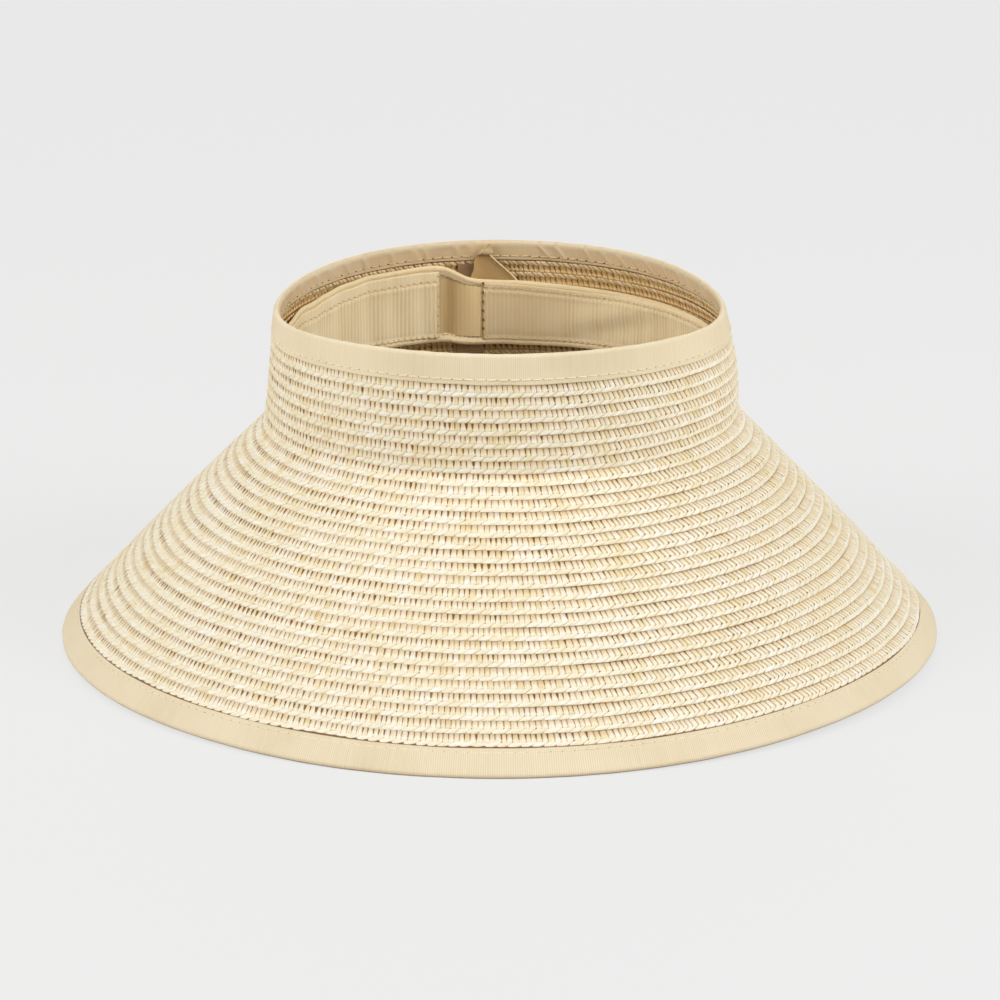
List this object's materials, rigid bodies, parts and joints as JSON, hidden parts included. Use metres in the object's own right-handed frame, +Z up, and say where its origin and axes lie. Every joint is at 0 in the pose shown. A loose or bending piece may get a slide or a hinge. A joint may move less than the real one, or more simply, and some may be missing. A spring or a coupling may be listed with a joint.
{
  "type": "sun visor",
  "caption": "Wide-brim sun visor with an open crown, sewn from straw-like braid, ribbon bindings on rim and brim edge, and an adjustable ribbon sweatband.",
  "frame": {"origin": "centre of the head opening, on the plane the brim rests on", "axes": "+Z up through the head opening; -Y is the front of the visor and +Y its back, where the size strap ends; +X is to the right of someone who faces the front"},
  "size_m": [0.3637, 0.3638, 0.1419],
  "materials": {
    "straw_braid": "woven paper straw, cream, satin, uneven",
    "binding_grosgrain": "fine ribbed grosgrain ribbon, beige",
    "sweatband_grosgrain": "ribbed grosgrain ribbon, beige",
    "sweatband_backing_cloth": "smooth tape with a soft sheen",
    "elastic": "knitted elastic, fine upright ribs",
    "strap_grosgrain": "ribbed grosgrain ribbon, beige",
    "loop_fastener": "brushed loop pile",
    "hook_fastener": "moulded fine hooks",
    "edge_wire": "drawn steel wire",
    "wire_sleeve": "crimped tube",
    "sewing_thread": "twisted polyester thread, beige"
  },
  "bodies": {
    "visor": {"crown_braid": "straw_braid", "brim_braid": "straw_braid", "rim_binding": "binding_grosgrain", "brim_binding": "binding_grosgrain", "brim_edge_wire": "edge_wire", "wire_joint_sleeve": "wire_sleeve", "sweatband_ribbon": "sweatband_grosgrain", "sweatband_backing": "sweatband_backing_cloth", "sweatband_elastic_panel": "elastic", "back_seam_tape": "sweatband_grosgrain", "strap_loop_patch": "loop_fastener", "rim_binding_stitch_outer": "sewing_thread", "rim_binding_stitch_inner": "sewing_thread", "brim_binding_stitch_top": "sewing_thread", "brim_binding_stitch_under": "sewing_thread", "sweatband_stitch_top": "sewing_thread", "sweatband_stitch_bottom": "sewing_thread", "panel_stitch_left": "sewing_thread", "panel_stitch_right": "sewing_thread", "sweatband_tacks": "sewing_thread"},
    "adjuster_strap": {"adjuster_strap": "strap_grosgrain", "strap_hook_patch": "hook_fastener"},
    "pull_tab": {"pull_tab": "strap_grosgrain", "pull_tab_stitch": "sewing_thread"}
  },
  "joints": [
    {"name": "strap_adjust", "type": "hinge", "parent": "visor", "child": "adjuster_strap", "pos_m": [0, 0, 0.11], "axis": [0, 0, 1], "range_deg": [-10, 0]},
    {"name": "tab_fold", "type": "hinge", "parent": "adjuster_strap", "child": "pull_tab", "pos_m": [-0.0025, 0.0899, 0.1275], "axis": [1, 0, 0], "range_deg": [0, 120]}
  ]
}
